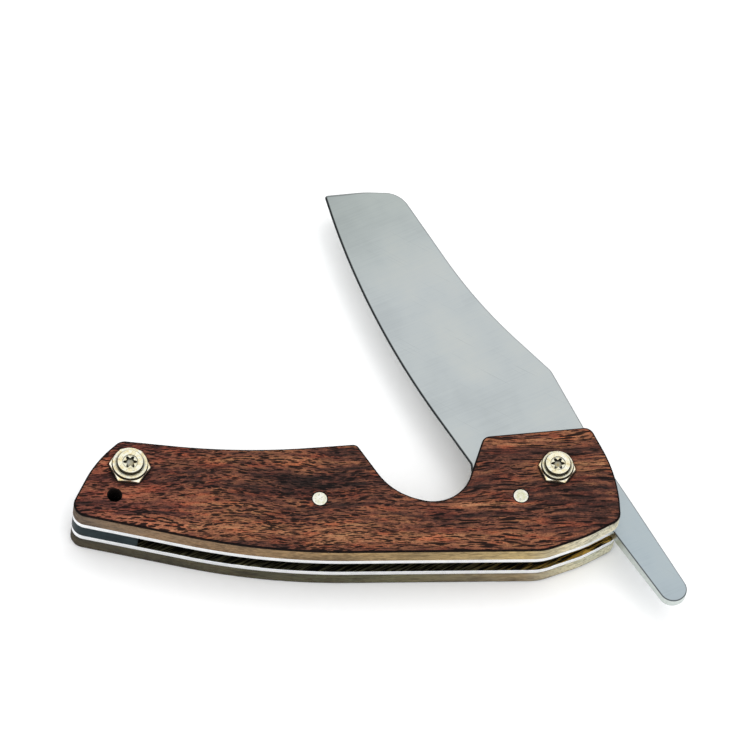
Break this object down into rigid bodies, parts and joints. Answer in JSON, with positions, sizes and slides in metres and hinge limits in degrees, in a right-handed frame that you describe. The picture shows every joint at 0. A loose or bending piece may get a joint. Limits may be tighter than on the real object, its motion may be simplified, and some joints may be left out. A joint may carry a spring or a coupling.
{
  "type": "straight razor",
  "caption": "Folding straight razor: a wide hollow-ground blade with a long tail turns between steel liners faced with wooden scales, on stepped hexagonal bolts.",
  "frame": {"origin": "the rest face: a point in the middle of the back scale's flat outer face, 48 mm along the handle and 14 mm across it from the pivot axis", "axes": "+X along the straight part of the handle towards its pivot end, +Y across the handle towards the notched edge where the open blade stands, +Z out of the front scale along the pivot axis"},
  "size_m": [0.1467, 0.1138, 0.0189],
  "materials": {
    "wood": "dark red-brown open-pored hardwood, oiled satin",
    "liner_steel": "polished edges, brushed faces",
    "spacer_steel": "dark matte steel",
    "blade_steel": "satin",
    "bolt_brass": "pale polished brass",
    "pin_metal": "pale nickel silver, peened and sanded flush",
    "washer_bronze": "plain bronze"
  },
  "bodies": {
    "handle": {"front_scale": "wood", "back_scale": "wood", "front_liner": "liner_steel", "back_liner": "liner_steel", "end_spacer": "spacer_steel", "pivot_barrel": "bolt_brass", "pivot_screw": "bolt_brass", "pivot_hex_collar": "bolt_brass", "pivot_step_washer": "bolt_brass", "end_barrel": "bolt_brass", "end_screw": "bolt_brass", "end_hex_collar": "bolt_brass", "end_step_washer": "bolt_brass", "front_pin_rear": "pin_metal", "front_pin_pivot": "pin_metal", "back_pin_rear": "pin_metal", "back_pin_pivot": "pin_metal", "front_bearing_washer": "washer_bronze", "back_bearing_washer": "washer_bronze"},
    "blade": {"blade": "blade_steel"}
  },
  "joints": [
    {"name": "blade_pivot", "type": "hinge", "parent": "handle", "child": "blade", "pos_m": [0.048, 0.014, 0.0081], "axis": [0, 0, 1], "range_deg": [-105, 65]}
  ]
}
